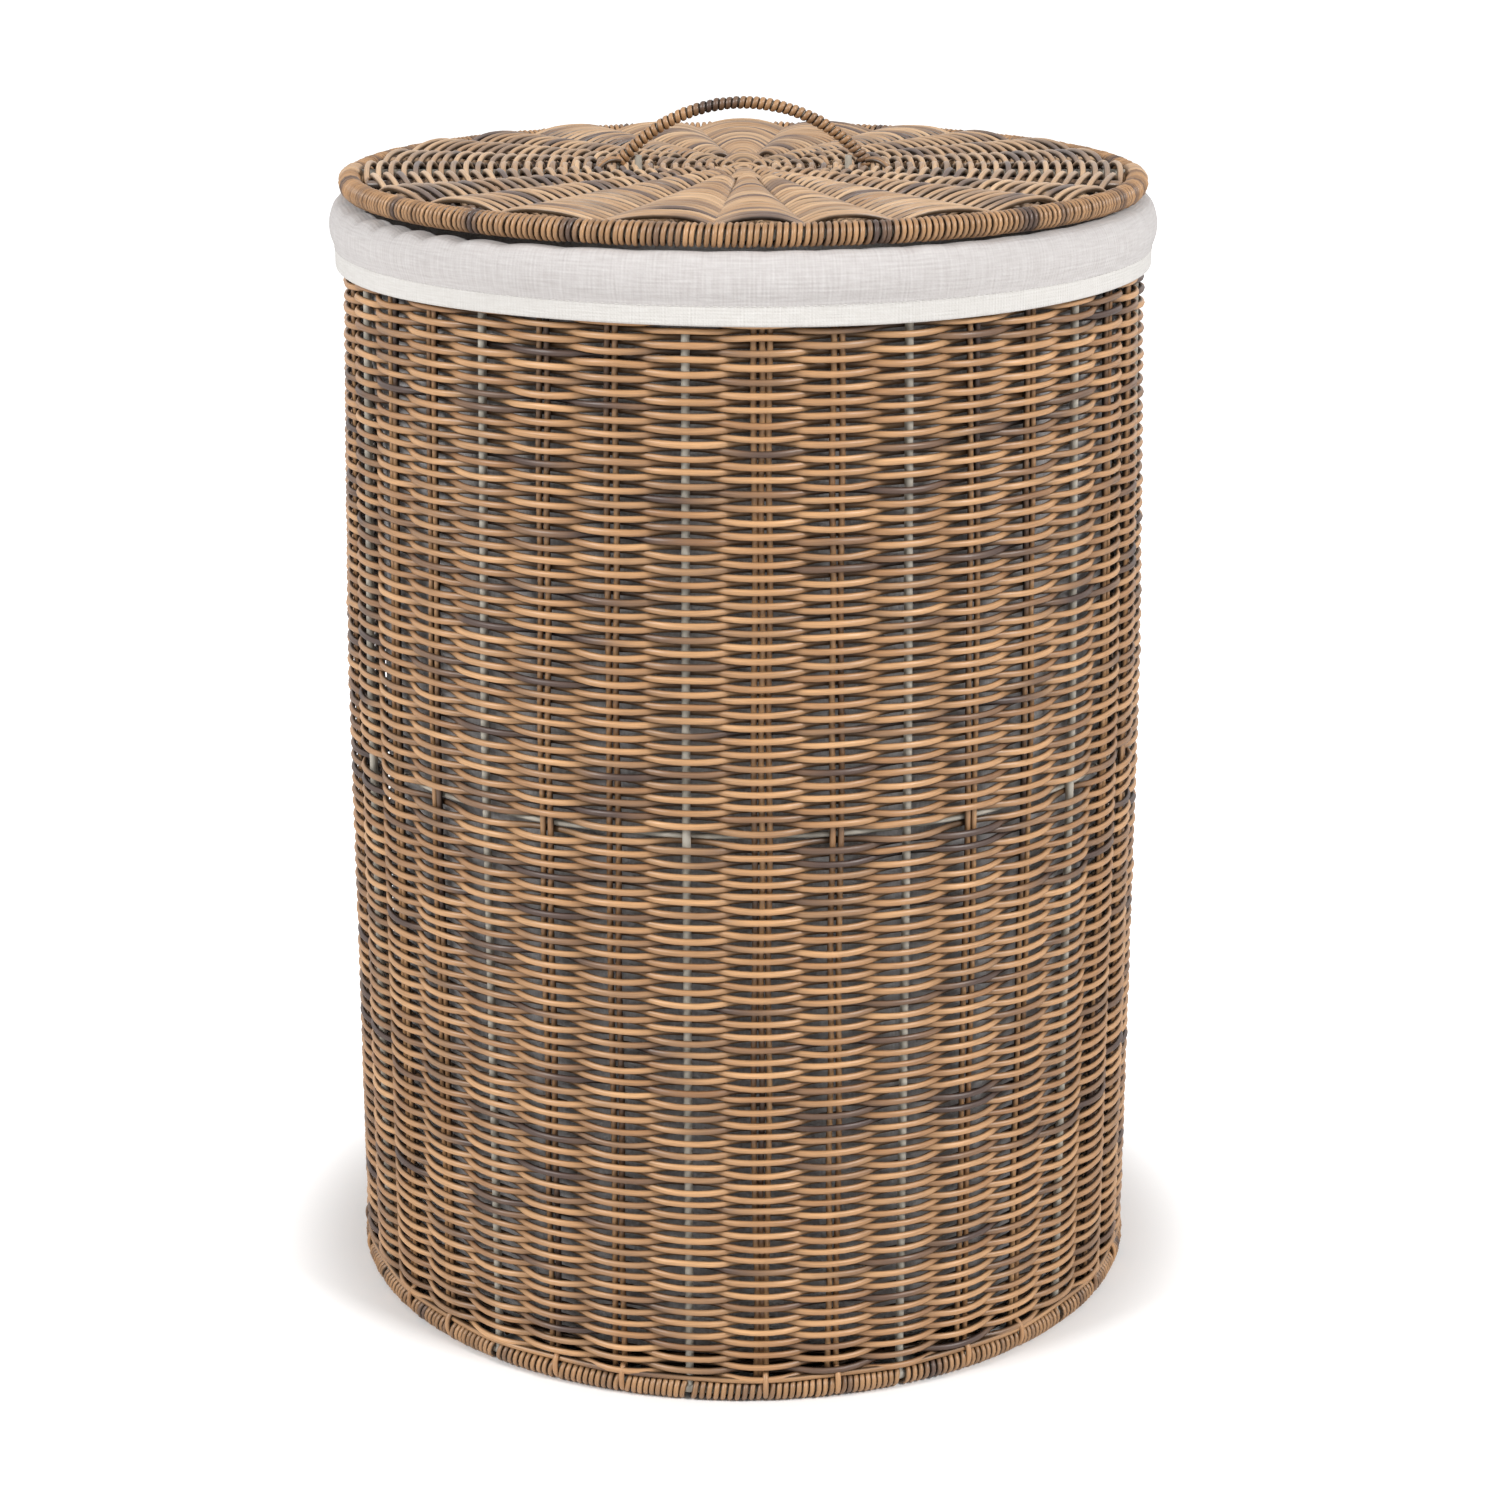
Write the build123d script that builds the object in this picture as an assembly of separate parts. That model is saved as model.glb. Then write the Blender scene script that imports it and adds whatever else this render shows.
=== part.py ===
from build123d import *
from math import cos, radians, sin, sqrt
import os

# Round woven laundry basket: steel rod frame, plastic cane weave, removable cloth liner, lift-off lid.
# Millimetres. +Z is up, the origin is the bottom centre of the basket, -Y is the front.
# Angles are measured about +Z from +X. The lid's handle stands in the XZ plane.

# Driving dimensions of the basket
BASE_HOOP_RADIUS = 201.5
RIM_HOOP_RADIUS = 194.5
RIM_HOOP_Z = 552.5
HOOP_ROD_RADIUS = 2.5
WRAP_RADIUS = 5.5
BASE_HOOP_Z = 5.2
CROSS_ROD_ANGLE = 7.5

# Uprights: every third one is a steel bar, the others are pairs of cane
UPRIGHT_BEND_Z = 330.0
UPRIGHT_BEND_RADIUS = 200.65
UPRIGHT_COUNT = 36
FIRST_BAR_ANGLE = -7.5
BAR_RADIUS = 2.0
CANE_RADIUS = 1.5
CANE_PAIR_OFFSET = 1.85
WALL_HALF_THICKNESS = 5.0
MID_HOOP_Z = 291.0
MID_HOOP_ROD_RADIUS = 1.4
MID_HOOP_WELD_SINK = 0.1
STAKE_FOOT_GAP = 0.4
STAKE_TOP_GAP = 0.2
WEAVE_FOOT_GAP = 0.3
WEAVE_TOP_GAP = 0.1

# Base
BASE_WEAVE_Z = 12.0
BASE_WEAVE_THICKNESS = 7.0
BASE_WEAVE_RADIUS = 196.2
BASE_SPOKE_COUNT = 24
BASE_SPOKE_START = 12.0

# Cloth liner
CLOTH_THICKNESS = 1.2
LINER_CLEARANCE = 0.5
LINER_FLOOR_Z = 16.5
CUFF_START_Z = 546.0
CUFF_TOP_Z = 562.0
CUFF_BULGE_RADIUS = 205.2
CUFF_BULGE_Z = 549.0
HEM_TOP_Z = 541.0
HEM_BOTTOM_Z = 530.5
HEM_INNER_RADIUS = 201.6
HEM_THICKNESS = 1.8
CUFF_SHOULDER_INSET = 1.2
CUFF_FOLD_RADII = [7.8, 6.0, 9.0]

# Lid
LID_HOOP_Z = 570.0
LID_WRAP_RADIUS = 5.75
LID_WEAVE_Z = 572.0
LID_WEAVE_HALF_THICKNESS = 6.0
LID_SPOKE_COUNT = 24
LID_SPOKE_RADIUS = 2.4
LID_HUB_RADIUS = 14.0
ADDED_SPOKE_START = 44.0
LASHING_RADIUS = 6.2
LASHING_HALF_ANGLE = 3.2
NEIGHBOUR_GAP = 0.1

# Handle: an arch of rod with its two feet on the lid's crossbar
HANDLE_ARCH_RADIUS = 79.6
HANDLE_APEX_Z = 606.8
HANDLE_ROD_RADIUS = 1.75
HANDLE_WRAP_RADIUS = 3.2
HANDLE_WRAP_FOOT_GAP = 2.2
HANDLE_LUG_X = 52.3
HANDLE_LUG_RADIUS = 1.8
HANDLE_LUG_TOP_Z = 580.8

CUTTER_MARGIN = 20
BOTTOM_UP = (Align.CENTER, Align.CENTER, Align.MIN)


def upright_radius(z):
    """Radius of the circle that the uprights stand on: it narrows a little up to the bend, then faster."""
    if z < UPRIGHT_BEND_Z:
        share = (z - BASE_HOOP_Z) / (UPRIGHT_BEND_Z - BASE_HOOP_Z)
        return BASE_HOOP_RADIUS + (UPRIGHT_BEND_RADIUS - BASE_HOOP_RADIUS) * share
    share = (z - UPRIGHT_BEND_Z) / (RIM_HOOP_Z - UPRIGHT_BEND_Z)
    return UPRIGHT_BEND_RADIUS + (RIM_HOOP_RADIUS - UPRIGHT_BEND_RADIUS) * share


def hoop(radius, z, rod_radius):
    return Pos(0, 0, z) * Torus(radius, rod_radius)


def rod(start, end, radius):
    """A straight round rod from start to end."""
    run = Vector(*end) - Vector(*start)
    return Plane(origin=start, z_dir=run) * Cylinder(radius, run.length, align=BOTTOM_UP)


def bent_upright(offset, low_z, high_z, radius):
    """A round upright from low_z to high_z, bent in once, set sideways by offset."""
    heights = (low_z, UPRIGHT_BEND_Z, high_z)
    path = Polyline(*[(upright_radius(z), offset, z) for z in heights])
    section = Plane(origin=path @ 0, z_dir=path % 0) * Circle(radius)
    return sweep(section, path=path, transition=Transition.RIGHT)


def turned(shape, angles):
    """One copy of shape at each angle about the vertical axis."""
    return [Rot(0, 0, angle) * shape for angle in angles]


def group(shapes):
    """Separate solids kept side by side in one node."""
    return Compound([solid for shape in shapes for solid in shape.solids()])


def lathe(points):
    """A ring turned about the vertical axis from a closed outline of (radius, z) points."""
    return revolve(Plane.XZ * make_face(Polyline(*points, close=True)), Axis.Z)


def tube(outer_radius, inner_radius, low_z, high_z):
    corners = [(inner_radius, low_z), (outer_radius, low_z), (outer_radius, high_z), (inner_radius, high_z)]
    return lathe(corners)


def upright_angles(is_bar):
    """Angles of the steel bars, or of the cane pairs that stand between them."""
    step = 360 / UPRIGHT_COUNT
    return [FIRST_BAR_ANGLE + step * place for place in range(UPRIGHT_COUNT) if (place % 3 == 0) == is_bar]


# ---- basket frame ----

def make_top_hoop():
    return hoop(RIM_HOOP_RADIUS, RIM_HOOP_Z, HOOP_ROD_RADIUS)


def make_base_hoop():
    return hoop(BASE_HOOP_RADIUS, BASE_HOOP_Z, HOOP_ROD_RADIUS)


def make_bars(top_hoop, base_hoop):
    """Twelve bars, butt-welded between the two hoops, bent in towards the top."""
    bar = bent_upright(0, BASE_HOOP_Z, RIM_HOOP_Z, BAR_RADIUS) - top_hoop - base_hoop
    bar = bar.solids().sort_by(SortBy.VOLUME)[-1]
    return group(turned(bar, upright_angles(is_bar=True)))


def make_mid_hoop(bars):
    """The hoop that is welded to the inner side of the bars at mid height."""
    radius = upright_radius(MID_HOOP_Z) - BAR_RADIUS - MID_HOOP_ROD_RADIUS + MID_HOOP_WELD_SINK
    ring = hoop(radius, MID_HOOP_Z, MID_HOOP_ROD_RADIUS) - bars
    return ring.solids().sort_by(SortBy.VOLUME)[-1]


def make_base_cross_rods(base_hoop):
    """Two rods that cross under the woven base between the bars, the second in halves welded to the first."""
    long_rod = rod((-BASE_HOOP_RADIUS, 0, BASE_HOOP_Z), (BASE_HOOP_RADIUS, 0, BASE_HOOP_Z), BAR_RADIUS)
    half_rod = rod((0, 0, BASE_HOOP_Z), (0, BASE_HOOP_RADIUS, BASE_HOOP_Z), BAR_RADIUS) - long_rod
    halves = turned(half_rod, (0, 180))
    pieces = [(piece - base_hoop).solids().sort_by(SortBy.VOLUME)[-1] for piece in [long_rod] + halves]
    return group(turned(Compound(pieces), [CROSS_ROD_ANGLE]))


# ---- basket weave ----

def make_stakes():
    """Pairs of cane uprights between the bars, from the base border to the rim."""
    low_z = BASE_HOOP_Z + WRAP_RADIUS + STAKE_FOOT_GAP
    high_z = RIM_HOOP_Z - WRAP_RADIUS - STAKE_TOP_GAP
    offsets = (-CANE_PAIR_OFFSET, CANE_PAIR_OFFSET)
    canes = [bent_upright(offset, low_z, high_z, CANE_RADIUS) for offset in offsets]
    return group(turned(Compound(canes), upright_angles(is_bar=False)))


def make_wall_weave(inner_pieces):
    """The woven wall as a plain hollow ring, narrower above the bend, with room for the uprights and hoop."""
    low_z = BASE_HOOP_Z + WRAP_RADIUS + WEAVE_FOOT_GAP
    high_z = RIM_HOOP_Z - WRAP_RADIUS - WEAVE_TOP_GAP
    half = WALL_HALF_THICKNESS
    heights = (low_z, UPRIGHT_BEND_Z, high_z)
    outer_side = [(upright_radius(z) + half, z) for z in heights]
    inner_side = [(upright_radius(z) - half, z) for z in reversed(heights)]
    return lathe(outer_side + inner_side) - inner_pieces


def make_rim_wrap(top_hoop, bars):
    """Strand wound round the top hoop."""
    return hoop(RIM_HOOP_RADIUS, RIM_HOOP_Z, WRAP_RADIUS) - top_hoop - bars


def make_base_border_wrap(base_hoop, bars, cross_rods):
    """Strand wound round the base hoop, worn to a narrow flat where the basket stands."""
    ring = hoop(BASE_HOOP_RADIUS, BASE_HOOP_Z, WRAP_RADIUS)
    cutter_radius = BASE_HOOP_RADIUS + CUTTER_MARGIN
    floor_cut = Pos(0, 0, -WRAP_RADIUS) * Cylinder(cutter_radius, WRAP_RADIUS, align=BOTTOM_UP)
    return ring - floor_cut - base_hoop - bars - cross_rods


def radial_spokes(z, radius, inner_ends, outer_end, count, first_angle, skipped=()):
    """Spokes at even angles. Every other one starts at the hub, the ones between are added further out."""
    spokes = []
    for place in range(count):
        if place in skipped:
            continue
        start = (inner_ends[place % 2], 0, z)
        spokes += turned(rod(start, (outer_end, 0, z), radius), [first_angle + 360 / count * place])
    return group(spokes)


def make_base_spokes():
    inner_ends = (BASE_SPOKE_START, ADDED_SPOKE_START)
    return radial_spokes(BASE_WEAVE_Z, CANE_RADIUS, inner_ends, BASE_WEAVE_RADIUS, BASE_SPOKE_COUNT,
                         FIRST_BAR_ANGLE)


def make_base_weave(spokes):
    """The woven base as a plain disc with its spokes inside it."""
    disc = Pos(0, 0, BASE_WEAVE_Z) * Cylinder(BASE_WEAVE_RADIUS, BASE_WEAVE_THICKNESS)
    return disc - spokes


# ---- liner ----

def liner_outer_radius():
    return RIM_HOOP_RADIUS - WRAP_RADIUS - LINER_CLEARANCE


def make_liner_base():
    radius = liner_outer_radius() - CLOTH_THICKNESS
    return Pos(0, 0, LINER_FLOOR_Z) * Cylinder(radius, CLOTH_THICKNESS, align=BOTTOM_UP)


def make_liner_bag():
    outer = liner_outer_radius()
    return tube(outer, outer - CLOTH_THICKNESS, LINER_FLOOR_Z, CUFF_START_Z)


def make_liner_cuff():
    """Cloth that runs up from the bag, over the rim and down outside to the hem, with a soft bulge."""
    inner = liner_outer_radius() - CLOTH_THICKNESS
    hem = HEM_INNER_RADIUS + (HEM_THICKNESS + CLOTH_THICKNESS) / 2
    shoulder = CUFF_BULGE_RADIUS - CUFF_SHOULDER_INSET
    corners = [(inner, CUFF_START_Z), (inner, CUFF_TOP_Z), (shoulder, CUFF_TOP_Z),
               (CUFF_BULGE_RADIUS, CUFF_BULGE_Z), (hem, HEM_TOP_Z)]
    fold = FilletPolyline(*corners, radius=CUFF_FOLD_RADII)
    skin = make_face(fold.wire().offset_2d(CLOTH_THICKNESS, side=Side.RIGHT))
    return revolve(Plane.XZ * skin, Axis.Z)


def make_liner_hem_band():
    """The binding strip that is folded over the cuff's raw edge."""
    return tube(HEM_INNER_RADIUS + HEM_THICKNESS, HEM_INNER_RADIUS, HEM_BOTTOM_Z, HEM_TOP_Z)


# ---- lid ----

def make_lid_rim_hoop():
    return hoop(RIM_HOOP_RADIUS, LID_HOOP_Z, HOOP_ROD_RADIUS)


def make_lid_crossbar(rim_hoop):
    """The main rod of the lid, welded across the rim hoop along X."""
    bar = rod((-RIM_HOOP_RADIUS, 0, LID_WEAVE_Z), (RIM_HOOP_RADIUS, 0, LID_WEAVE_Z), BAR_RADIUS) - rim_hoop
    return bar.solids().sort_by(SortBy.VOLUME)[-1]


def make_lid_spokes():
    """Cane spokes from the hub to the rim, with the crossbar in place of the two along X."""
    inner_ends = (LID_HUB_RADIUS, ADDED_SPOKE_START)
    crossbar_places = (0, LID_SPOKE_COUNT // 2)
    return radial_spokes(LID_WEAVE_Z, LID_SPOKE_RADIUS, inner_ends, lid_weave_radius(), LID_SPOKE_COUNT, 0,
                         crossbar_places)


def lid_weave_radius():
    return RIM_HOOP_RADIUS - LASHING_RADIUS - NEIGHBOUR_GAP


def lashing_cutter():
    """Two wedges at the crossbar's ends, where the lashings take the place of the fine wrapping."""
    reach = RIM_HOOP_RADIUS + CUTTER_MARGIN
    spread = reach * sin(radians(LASHING_HALF_ANGLE)) / cos(radians(LASHING_HALF_ANGLE))
    wedge = make_face(Polyline((0, 0), (reach, -spread), (reach, spread), close=True))
    block = Pos(0, 0, LID_HOOP_Z - CUTTER_MARGIN) * extrude(wedge, 2 * CUTTER_MARGIN)
    return Compound(turned(block, (0, 180)))


def make_lid_rim_wrap(rim_hoop, cutter):
    """Strand wound round the lid's rim hoop, in two runs between the lashings."""
    return hoop(RIM_HOOP_RADIUS, LID_HOOP_Z, LID_WRAP_RADIUS) - rim_hoop - cutter


def make_lid_rim_lashings(rim_hoop, cutter, crossbar):
    """Broad smooth turns that bind the crossbar's ends to the rim."""
    ring = hoop(RIM_HOOP_RADIUS, LID_HOOP_Z, LASHING_RADIUS) - rim_hoop
    return group([(ring & cutter) - crossbar])


def make_lid_hub(crossbar):
    """The tight first rounds of strand that bind the spokes at the centre."""
    hub = Pos(0, 0, LID_WEAVE_Z) * Cylinder(LID_HUB_RADIUS - NEIGHBOUR_GAP, 2 * LID_WEAVE_HALF_THICKNESS)
    return group([hub - crossbar])


def make_lid_weave(inner_pieces):
    """The woven lid as a plain disc with room for the rods, spokes and feet inside it."""
    outer = lid_weave_radius()
    low_z = LID_WEAVE_Z - LID_WEAVE_HALF_THICKNESS
    high_z = LID_WEAVE_Z + LID_WEAVE_HALF_THICKNESS
    disc = tube(outer, LID_HUB_RADIUS, low_z, high_z)
    return group([disc - inner_pieces])


def handle_arc(radius, high_z):
    """The part of the handle's arch, as a tube path, that lies above the height high_z."""
    centre_z = HANDLE_APEX_Z - HANDLE_ARCH_RADIUS
    rise = high_z - centre_z
    half_span = sqrt(HANDLE_ARCH_RADIUS ** 2 - rise ** 2)
    path = ThreePointArc((-half_span, 0, high_z), (0, 0, HANDLE_APEX_Z), (half_span, 0, high_z))
    section = Plane(origin=path @ 0, z_dir=path % 0) * Circle(radius)
    return sweep(section, path=path)


def make_handle_core(crossbar):
    """The steel rod of the handle, welded by both ends to the crossbar."""
    core = handle_arc(HANDLE_ROD_RADIUS, LID_WEAVE_Z) - crossbar
    return core.solids().sort_by(SortBy.VOLUME)[-1]


def make_handle_wrap(core):
    """Strand wound round the handle's rod, from one foot to the other."""
    foot_z = LID_WEAVE_Z + LID_WEAVE_HALF_THICKNESS + HANDLE_WRAP_FOOT_GAP
    sleeve = handle_arc(HANDLE_WRAP_RADIUS, foot_z) - core
    return sleeve.solids().sort_by(SortBy.VOLUME)[-1]


def make_handle_lugs(crossbar):
    """Two short rod ends that stand up from the crossbar just inside the handle's feet."""
    ends = (-HANDLE_LUG_X, HANDLE_LUG_X)
    lugs = [rod((x, 0, LID_WEAVE_Z), (x, 0, HANDLE_LUG_TOP_Z), HANDLE_LUG_RADIUS) for x in ends]
    return group([(lug - crossbar).solids().sort_by(SortBy.VOLUME)[-1] for lug in lugs])


# ---- assembly ----

top_hoop = make_top_hoop()
base_hoop = make_base_hoop()
bars = make_bars(top_hoop, base_hoop)
mid_hoop = make_mid_hoop(bars)
cross_rods = make_base_cross_rods(base_hoop)
stakes = make_stakes()
base_spokes = make_base_spokes()

lid_rim_hoop = make_lid_rim_hoop()
lid_crossbar = make_lid_crossbar(lid_rim_hoop)
lid_spokes = make_lid_spokes()
cutter = lashing_cutter()
handle_core = make_handle_core(lid_crossbar)
handle_lugs = make_handle_lugs(lid_crossbar)

nodes = {
    "frame_top_hoop": top_hoop,
    "frame_mid_hoop": mid_hoop,
    "frame_base_hoop": base_hoop,
    "frame_bars": bars,
    "base_cross_rods": cross_rods,
    "wall_stakes": stakes,
    "wall_weave": make_wall_weave(bars.solids() + stakes.solids() + [mid_hoop]),
    "rim_wrap": make_rim_wrap(top_hoop, bars),
    "base_border_wrap": make_base_border_wrap(base_hoop, bars, cross_rods),
    "base_spokes": base_spokes,
    "base_weave": make_base_weave(base_spokes),
    "liner_bag": make_liner_bag(),
    "liner_base": make_liner_base(),
    "liner_cuff": make_liner_cuff(),
    "liner_hem_band": make_liner_hem_band(),
    "lid_rim_hoop": lid_rim_hoop,
    "lid_rim_wrap": make_lid_rim_wrap(lid_rim_hoop, cutter),
    "lid_rim_lashings": make_lid_rim_lashings(lid_rim_hoop, cutter, lid_crossbar),
    "lid_crossbar": lid_crossbar,
    "lid_spokes": lid_spokes,
    "lid_hub": make_lid_hub(lid_crossbar),
    "lid_weave": make_lid_weave([lid_crossbar, handle_core] + lid_spokes.solids() + handle_lugs.solids()),
    "handle_core": handle_core,
    "handle_wrap": make_handle_wrap(handle_core),
    "handle_lugs": handle_lugs,
}

os.makedirs("parts", exist_ok=True)
for name, shape in nodes.items():
    export_step(shape, f"parts/{name}.step")
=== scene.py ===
import bpy
import numpy as np
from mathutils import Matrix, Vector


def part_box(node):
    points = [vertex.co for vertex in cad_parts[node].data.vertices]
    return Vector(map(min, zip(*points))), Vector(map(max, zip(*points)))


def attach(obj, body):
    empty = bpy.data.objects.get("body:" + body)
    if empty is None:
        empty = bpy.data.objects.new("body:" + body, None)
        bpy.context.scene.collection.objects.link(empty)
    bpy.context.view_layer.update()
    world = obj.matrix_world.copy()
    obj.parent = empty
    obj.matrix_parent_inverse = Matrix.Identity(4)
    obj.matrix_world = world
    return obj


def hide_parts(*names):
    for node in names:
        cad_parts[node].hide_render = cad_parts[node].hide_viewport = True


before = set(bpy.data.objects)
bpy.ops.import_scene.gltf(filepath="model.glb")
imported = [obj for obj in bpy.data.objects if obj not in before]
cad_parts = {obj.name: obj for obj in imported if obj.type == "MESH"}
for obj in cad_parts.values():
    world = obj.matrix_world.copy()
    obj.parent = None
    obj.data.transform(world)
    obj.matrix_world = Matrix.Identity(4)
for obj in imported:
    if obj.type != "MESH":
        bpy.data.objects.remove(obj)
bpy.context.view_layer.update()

FULL_TURN = 2 * np.pi
RANDOM_SEED = 41
chance = np.random.default_rng(RANDOM_SEED)


# ---------------------------------------------------------------------------------------------------
# Steel frame: twelve upright rods welded between three hoops, a cross under the base, and in the lid a
# hoop, one crossbar, the handle's rod and its two short lugs. Powder-coated khaki grey after welding.

def linear(hex_colour):
    """An sRGB hex colour as linear red, green, blue and alpha: each channel is undone by the sRGB curve."""
    srgb = np.array([int(hex_colour[place:place + 2], 16) for place in (1, 3, 5)]) / 255
    straight = np.where(srgb <= 0.04045, srgb / 12.92, ((srgb + 0.055) / 1.055) ** 2.4)
    return (*straight.tolist(), 1.0)


def add_node(tree, kind, inputs=None, **settings):
    """Adds a node. settings are its properties; inputs gives each socket a value or the output it reads."""
    node = tree.nodes.new(kind)
    for name, value in settings.items():
        setattr(node, name, value)
    for socket, value in (inputs or {}).items():
        if isinstance(value, bpy.types.NodeSocket):
            tree.links.new(value, node.inputs[socket])
        else:
            node.inputs[socket].default_value = value
    return node


def new_material(name, **shader_values):
    """An empty material with one Principled shader, whose sockets get the values that don't vary."""
    material = bpy.data.materials.new(name)
    material.use_nodes = True
    shader = material.node_tree.nodes["Principled BSDF"]
    for socket, value in shader_values.items():
        shader.inputs[socket.replace("_", " ")].default_value = value
    return material, material.node_tree, shader


def powder_coat():
    """Powder-coated mild steel, baked: an even khaki grey with a faint orange-peel of 1.5 mm and rubbed
    patches of some 15 mm that are a little lighter. Matt, so it gives the eye only a soft broad highlight."""
    material, tree, shader = new_material("powder-coated steel", Roughness=0.52)
    place = add_node(tree, "ShaderNodeTexCoord").outputs["Object"]
    patches = add_node(tree, "ShaderNodeTexNoise", {"Vector": place, "Scale": 1 / 0.015, "Detail": 3.0})
    share = add_node(tree, "ShaderNodeMapRange", {"Value": patches.outputs["Fac"], 1: 0.35, 2: 0.7})
    greys = {0: share.outputs[0], 6: linear("#9D968A"), 7: linear("#BFB8AA")}
    colour = add_node(tree, "ShaderNodeMix", greys, data_type="RGBA")
    tree.links.new(colour.outputs[2], shader.inputs["Base Color"])
    peel = add_node(tree, "ShaderNodeTexNoise", {"Vector": place, "Scale": 1 / 0.0015, "Detail": 1.0})
    relief = {"Height": peel.outputs["Fac"], "Strength": 0.25, "Distance": 0.0002}
    bump = add_node(tree, "ShaderNodeBump", relief)
    tree.links.new(bump.outputs[0], shader.inputs["Normal"])
    return material


steel = powder_coat()
STEEL_NODES = ("frame_top_hoop", "frame_mid_hoop", "frame_base_hoop", "frame_bars", "base_cross_rods",
               "lid_rim_hoop", "lid_crossbar", "handle_core", "handle_lugs")
for node_name in STEEL_NODES:
    for material_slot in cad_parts[node_name].material_slots:
        material_slot.material = steel


# ---------------------------------------------------------------------------------------------------
# Wall uprights: between every two steel bars stand two pairs of round plastic cane. They are drawn tubes of
# polyethylene, pressed with a wood-like fibre, and bend a little where the rows squeeze them.

def cane_tubes(paths, outward, half_deep, half_wide, sides, closed):
    """Canes along many paths at once. paths[row, step] are centre-line points and outward[row, step] is a
    direction about square to the path. Each ring is the centre plus half_deep cos a times outward plus
    half_wide sin a times sideways, where sideways is the path's direction crossed with outward. Gives the
    points, the faces and each face corner's UV: u is the length along the cane in metres, and v is the cane's
    number plus the share of the way round it, so that every cane reads its own stretch of a pattern."""
    rows, steps = paths.shape[:2]
    if closed:
        along = np.roll(paths, -1, 1) - np.roll(paths, 1, 1)
    else:
        along = np.gradient(paths, axis=1)
    along /= np.linalg.norm(along, axis=2, keepdims=True)
    sideways = np.cross(along, outward)
    sideways /= np.linalg.norm(sideways, axis=2, keepdims=True)
    outward = np.cross(sideways, along)
    angle = np.pi + FULL_TURN * np.arange(sides) / sides
    deep = np.broadcast_to(half_deep, (rows, steps))[..., None, None]
    wide = np.broadcast_to(half_wide, (rows, steps))[..., None, None]
    ring_outward = deep * np.cos(angle)[:, None] * outward[:, :, None]
    ring_sideways = wide * np.sin(angle)[:, None] * sideways[:, :, None]
    points = (paths[:, :, None] + (ring_outward + ring_sideways)).reshape(-1, 3)

    spans = steps if closed else steps - 1
    row, step, side = np.meshgrid(np.arange(rows), np.arange(spans), np.arange(sides), indexing="ij")
    next_step, next_side = (step + 1) % steps, (side + 1) % sides
    corners = [(step, side), (step, next_side), (next_step, next_side), (next_step, side)]
    quads = np.stack([(row * steps + s) * sides + a for s, a in corners], -1).reshape(-1, 4)

    gaps = np.linalg.norm(np.diff(np.concatenate([paths, paths[:, :1]], 1), axis=1), axis=2)
    length = np.concatenate([np.zeros((rows, 1)), np.cumsum(gaps, 1)], 1)
    # the share stops short of 1, so that the last corner still reads this cane's number
    round_share = 0.99 * np.arange(sides + 1) / sides
    uv_corners = [(step, side), (step, side + 1), (step + 1, side + 1), (step + 1, side)]
    corner_uv = [np.stack([length[row, s], row + round_share[a]], -1) for s, a in uv_corners]
    uv = np.stack(corner_uv, -2).reshape(-1, 2)
    if closed:
        return points, [quads], uv
    first = (np.arange(rows) * steps * sides)[:, None] + np.arange(sides)[::-1]
    last = (np.arange(rows) * steps * sides + (steps - 1) * sides)[:, None] + np.arange(sides)
    cap_uv = np.repeat(np.stack([np.zeros(2 * rows), np.tile(np.arange(rows) + 0.5, 2)], -1), sides, axis=0)
    return points, [quads, first, last], np.concatenate([uv, cap_uv])


def new_piece(name, points, faces, uv, material, body, slot, node=None):
    """Puts whole arrays of points, faces and corner UVs into a mesh, and fixes the piece to its body."""
    mesh = bpy.data.meshes.new(name)
    corners = np.concatenate([face.ravel() for face in faces]).astype(np.int32)
    sizes = np.concatenate([np.full(len(face), face.shape[1]) for face in faces])
    mesh.vertices.add(len(points))
    mesh.vertices.foreach_set("co", points.astype(np.float32).ravel())
    mesh.loops.add(len(corners))
    mesh.loops.foreach_set("vertex_index", corners)
    mesh.polygons.add(len(sizes))
    mesh.polygons.foreach_set("loop_start", (np.cumsum(sizes) - sizes).astype(np.int32))
    mesh.polygons.foreach_set("use_smooth", np.ones(len(sizes), dtype=bool))
    mesh.uv_layers.new(name="along").data.foreach_set("uv", uv.astype(np.float32).ravel())
    mesh.update(calc_edges=True)
    mesh.materials.append(material)
    piece = bpy.data.objects.new(name, mesh)
    bpy.context.scene.collection.objects.link(piece)
    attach(piece, body)
    if node:
        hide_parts(node)
    return piece


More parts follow.
